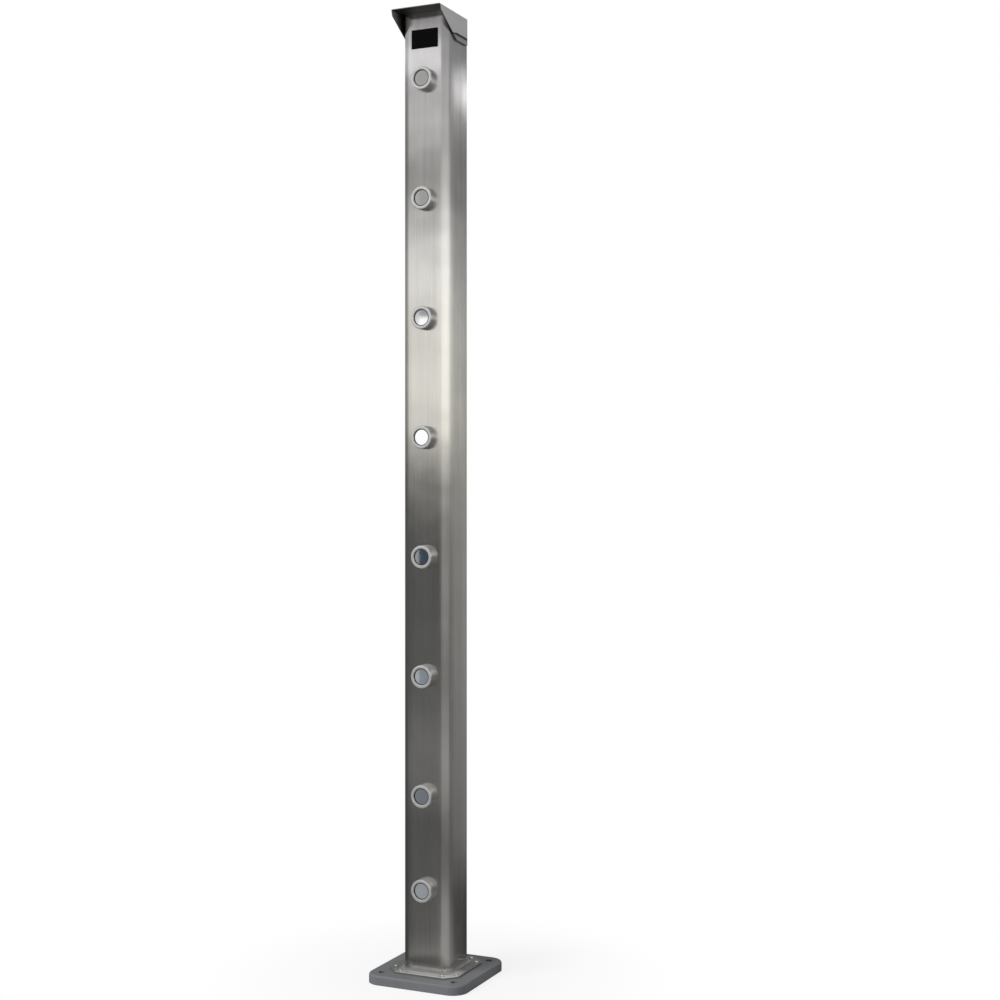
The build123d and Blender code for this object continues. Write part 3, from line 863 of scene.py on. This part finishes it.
def weldBead(name):
    material, tree = newMaterial(name)
    place = addNode(tree, "TexCoord").outputs["Object"]
    ripple = addNode(tree, "TexWave", {
        "Vector": place,
        "Scale": waveScale(beadLook["ripplePitch"]),
        "Distortion": 1.5,
        "Detail": 1.0,
    }, wave_type="BANDS", bands_direction="DIAGONAL")
    grain = addNode(tree, "TexNoise", {
        "Vector": place,
        "Scale": beadLook["grainScale"],
        "Detail": 2.0,
    })
    colour = addNode(tree, "Mix", {
        0: grain,
        6: toLinear(beadLook["darker"]),
        7: toLinear(beadLook["colour"]),
    }, data_type="RGBA")
    bump = addNode(tree, "Bump", {
        "Height": ripple.outputs["Fac"],
        "Distance": beadLook["rippleDepth"],
        "Strength": 1.0,
    })
    shader = addNode(tree, "BsdfPrincipled", {
        "Base Color": colour.outputs[2],
        "Metallic": beadLook["metallic"],
        "Roughness": beadLook["roughness"],
        "Normal": bump,
    })
    addNode(tree, "OutputMaterial", {"Surface": shader})
    return material


made = {name: grainMaterial(name, {**usualFinish, **finishes[name]}) for name in finishes}
made["steelUpright"] = brushedStainless("steelUpright", "Z", crowned=True)
# the hood, with painted shade on its inside and edges
made["steelHood"] = brushedStainless(
    "steelHood", "Y", dull=millSkin, whereGround=outsideOfHood,
)
made["steelLedge"] = brushedStainless(
    "steelLedge", "Y", pair=("ledgeGreyDarker", "ledgeGrey"), dull=cutEdge, whereGround=sideFace,
)
# the flange, with painted light in front and painted shade on its cut sides
made["steelFlange"] = brushedStainless(
    "steelFlange", "X", metallic=0.72, pair=("pickledDarker", "pickled"), haze=0.2,
    dull=flangeEdge, whereGround=levelFace, fade=cleaned,
)
made["powderCoat"] = powderCoat("powderCoat")
made["weldBead"] = weldBead("weldBead")
print("materials made,", len(made))


def dress(name, material):
    for materialSlot in nodes[name].material_slots:
        materialSlot.material = material


beamCount = 8
wearing = {
    "steelUpright": ["post_tube"],
    "steelHood": ["rain_hood"],
    "steelLedge": ["hood_ledge_left", "hood_ledge_right"],
    "steelFlange": ["foot_flange"],
    "powderCoat": ["base_plate"],
    "coatedGlass": [],
    "nitrileRubber": ["hood_seal_left", "hood_seal_right", "cable_grommet"],
    "screwSteel": ["flange_screws", "back_screws", "chassis_screws"],
    "milledAluminium": ["bezel_nuts"],
    "smokedAcrylic": ["display_window"],
    "solderMask": ["display_board", "driver_board"],
    "galvanised": ["chassis_rail"],
    "filledNylon": [],
    "turnedBrass": ["board_standoffs"],
    "anodisedCase": ["power_supply"],
    "polyamide": ["terminal_block"],
}
for number in range(1, beamCount + 1):
    low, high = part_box("beam_window_%d" % number)
    bezelMaterial = turnedAluminium("turnedAluminium%d" % number, (low.z + high.z) / 2)
    dress("beam_bezel_%d" % number, bezelMaterial)
    wearing["coatedGlass"].append("beam_window_%d" % number)
    wearing["nitrileRubber"].append("window_seal_%d" % number)
    wearing["turnedBrass"].append("laser_module_%d" % number)
    wearing["filledNylon"].append("module_bracket_%d" % number)
for materialName, names in wearing.items():
    for name in names:
        dress(name, made[materialName])
print("nodes dressed")


def enterEdit(piece, mode):
    bpy.context.view_layer.objects.active = piece
    piece.select_set(True)
    bpy.ops.object.mode_set(mode="EDIT")
    bpy.ops.mesh.select_mode(type=mode)


def unpick(mesh):
    for part in (mesh.vertices, mesh.edges, mesh.polygons):
        part.foreach_set("select", [False] * len(part))


# Selects faces by their middle and normal, in object mode
def pickFaces(piece, test):
    unpick(piece.data)
    for face in piece.data.polygons:
        face.select = test(face.center, face.normal)


# Selects edges by both their ends
def pickEdges(piece, test):
    unpick(piece.data)
    for edge in piece.data.edges:
        edge.select = all(test(piece.data.vertices[end].co) for end in edge.vertices)


def finishPiece(piece, material):
    piece.data.materials.clear()
    piece.data.materials.append(material)
    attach(piece, "root")


# Button head screw with a hexagon socket, seat at the origin, head up
screwShape = {
    "corners": 40,
    "rounding": 0.48,        # share of the head's height
    "tipInset": 0.0004,
    "tipLength": 0.0003,
    "worn": 0.00012,
    "wornAngle": 40,
    "smoothAngle": 35,
    "turn": 23.0,            # degrees from one screw to the next
}
hair = 0.00001               # heights that are this close count as one


def makeScrew(name, size):
    bpy.ops.object.select_all(action="DESELECT")
    bpy.ops.mesh.primitive_cylinder_add(
        vertices=screwShape["corners"],
        radius=size["head"] / 2,
        depth=size["height"],
        location=(0, 0, size["height"] / 2),
    )
    bpy.ops.object.transform_apply(location=True)
    screw = bpy.context.object
    screw.name = name
    pickEdges(screw, lambda point: point.z > size["height"] - hair)
    enterEdit(screw, "EDGE")
    rounding = size["height"] * screwShape["rounding"]
    bpy.ops.mesh.bevel(offset=rounding, segments=5, affect="EDGES", profile=0.5)
    bpy.ops.object.mode_set(mode="OBJECT")
    pickFaces(screw, lambda centre, normal: normal.z < -0.9)
    enterEdit(screw, "FACE")
    shankMove = {"value": (0, 0, -size["length"])}
    bpy.ops.mesh.inset(thickness=(size["head"] - size["shank"]) / 2)
    bpy.ops.mesh.extrude_region_move(TRANSFORM_OT_translate=shankMove)
    bpy.ops.mesh.inset(thickness=screwShape["tipInset"])
    bpy.ops.transform.translate(value=(0, 0, -screwShape["tipLength"]))
    bpy.ops.object.mode_set(mode="OBJECT")
    bpy.ops.object.select_all(action="DESELECT")
    bpy.ops.mesh.primitive_cylinder_add(
        vertices=6,
        radius=size["socket"] / math.sqrt(3),
        depth=2 * size["socketDepth"],
        location=(0, 0, size["height"]),
    )
    cutter = bpy.context.object
    bpy.ops.object.select_all(action="DESELECT")
    bpy.context.view_layer.objects.active = screw
    screw.select_set(True)
    cut = screw.modifiers.new("socket", "BOOLEAN")
    cut.operation = "DIFFERENCE"
    cut.solver = "EXACT"
    cut.object = cutter
    bpy.ops.object.modifier_apply(modifier=cut.name)
    bpy.data.objects.remove(cutter)
    worn = screw.modifiers.new("wornEdges", "BEVEL")
    worn.width = screwShape["worn"]
    worn.segments = 2
    worn.limit_method = "ANGLE"
    worn.angle_limit = math.radians(screwShape["wornAngle"])
    bpy.ops.object.modifier_apply(modifier=worn.name)
    bpy.ops.object.shade_smooth_by_angle(angle=math.radians(screwShape["smoothAngle"]))
    return screw


# Copies of a screw at its seats, each turned a little differently
def placeScrews(pattern, seats, turnAxis, cadNode):
    for count, seat in enumerate(seats, start=1):
        copy = pattern.copy()
        copy.data = pattern.data.copy()
        copy.name = "%s_%d" % (pattern.name, count)
        spin = Matrix.Rotation(math.radians(screwShape["turn"] * count), 4, "Z")
        copy.data.transform(Matrix.Translation(seat) @ turnAxis @ spin)
        bpy.context.scene.collection.objects.link(copy)
        finishPiece(copy, made["screwSteel"])
        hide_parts(cadNode)
    bpy.data.objects.remove(pattern)


# Two screws at each cut corner of the flange
flangeScrew = {
    "head": 0.007,
    "height": 0.0022,
    "shank": 0.004,
    "length": 0.0117,
    "socket": 0.0025,
    "socketDepth": 0.0012,
    "off": (0.054, 0.037),   # from the middle, along one side and along the other
}
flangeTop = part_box("foot_flange")[1].z
along, across = flangeScrew["off"]
flangeSeats = [
    (sideX * x, sideY * y, flangeTop)
    for sideX in (-1, 1)
    for sideY in (-1, 1)
    for x, y in ((along, across), (across, along))
]
flangePattern = makeScrew("flangeScrew", flangeScrew)
placeScrews(flangePattern, flangeSeats, Matrix.Identity(4), "flange_screws")

# Screws behind: six through the tube into the rail, two through the hood's tab
backScrew = {
    "head": 0.008,
    "height": 0.0026,
    "shank": 0.004,
    "length": 0.0077,
    "socket": 0.003,
    "socketDepth": 0.0014,
    "railOff": 0.0225,       # from the middle, in the rail
    "railEnd": 0.040,        # from each end of the rail
    "hoodOff": 0.015,        # from the middle, in the hood's tab
    "hoodHeight": 1.530,
}
railLow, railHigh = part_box("chassis_rail")
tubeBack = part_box("post_tube")[1].y
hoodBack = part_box("rain_hood")[1].y
railRows = (
    railLow.z + backScrew["railEnd"],
    (railLow.z + railHigh.z) / 2,
    railHigh.z - backScrew["railEnd"],
)
backSeats = [
    (side * backScrew["railOff"], tubeBack, height) for side in (-1, 1) for height in railRows
]
backSeats += [
    (side * backScrew["hoodOff"], hoodBack, backScrew["hoodHeight"]) for side in (-1, 1)
]
facingBack = Matrix.Rotation(math.radians(-90), 4, "X")
placeScrews(makeScrew("backScrew", backScrew), backSeats, facingBack, "back_screws")
print("screws placed")

# Weld bead between the tube and its flange
weld = {
    "half": 0.03995,         # just inside the tube's faces
    "corner": 0.01145,
    "cornerSegments": 12,
    "leg": 0.0012,
    "foot": flangeTop - 2 * hair,   # sunk a little into the flange
    "cornerClear": 0.0008,   # parts the outer line of a corner from its inner line
    "rowClear": 0.0001,      # and the upper line from the lower ones
    "rowCuts": 4,
    "roundness": 0.12,
    "smoothAngle": 50,
}
bpy.ops.object.select_all(action="DESELECT")
bpy.ops.mesh.primitive_plane_add(size=2 * weld["half"], location=(0, 0, weld["foot"]))
bpy.ops.object.transform_apply(location=True)
bead = bpy.context.object
bead.name = "footWeld"
enterEdit(bead, "VERT")
bpy.ops.mesh.select_all(action="SELECT")
bpy.ops.mesh.bevel(offset=weld["corner"], segments=weld["cornerSegments"], affect="VERTICES")
bpy.ops.mesh.select_all(action="SELECT")
bpy.ops.mesh.delete(type="ONLY_FACE")
bpy.ops.mesh.select_all(action="SELECT")
bpy.ops.mesh.extrude_edges_move(TRANSFORM_OT_translate={"value": (0, 0, weld["leg"])})
bpy.ops.object.mode_set(mode="OBJECT")
rowLimit = weld["foot"] + weld["rowClear"]
pickEdges(bead, lambda point: point.z < rowLimit)
enterEdit(bead, "EDGE")
grow = 1 + weld["leg"] / weld["half"]
bpy.ops.mesh.extrude_edges_move()
bpy.ops.transform.resize(value=(grow, grow, 1))
bpy.ops.object.mode_set(mode="OBJECT")


# The upper line on the tube and the outer line on the flange
def beadEdge(point):
    x, y = abs(point.x), abs(point.y)
    middle = weld["half"] - weld["corner"]
    beyondSide = max(x, y) > weld["half"] + weld["leg"] / 2
    fromCorner = math.hypot(x - middle, y - middle)
    beyondCorner = fromCorner > weld["corner"] + weld["cornerClear"]
    return point.z > rowLimit or beyondSide or beyondCorner


pickEdges(bead, beadEdge)
enterEdit(bead, "EDGE")
bpy.ops.mesh.bridge_edge_loops(
    type="SINGLE",
    number_cuts=weld["rowCuts"],
    interpolation="PATH",
    profile_shape="SPHERE",
    profile_shape_factor=weld["roundness"],
)
bpy.ops.mesh.select_all(action="SELECT")
bpy.ops.mesh.normals_make_consistent(inside=False)
bpy.ops.object.mode_set(mode="OBJECT")
bpy.ops.object.shade_smooth_by_angle(angle=math.radians(weld["smoothAngle"]))
finishPiece(bead, made["weldBead"])
print("weld laid,", len(bead.data.polygons), "faces")
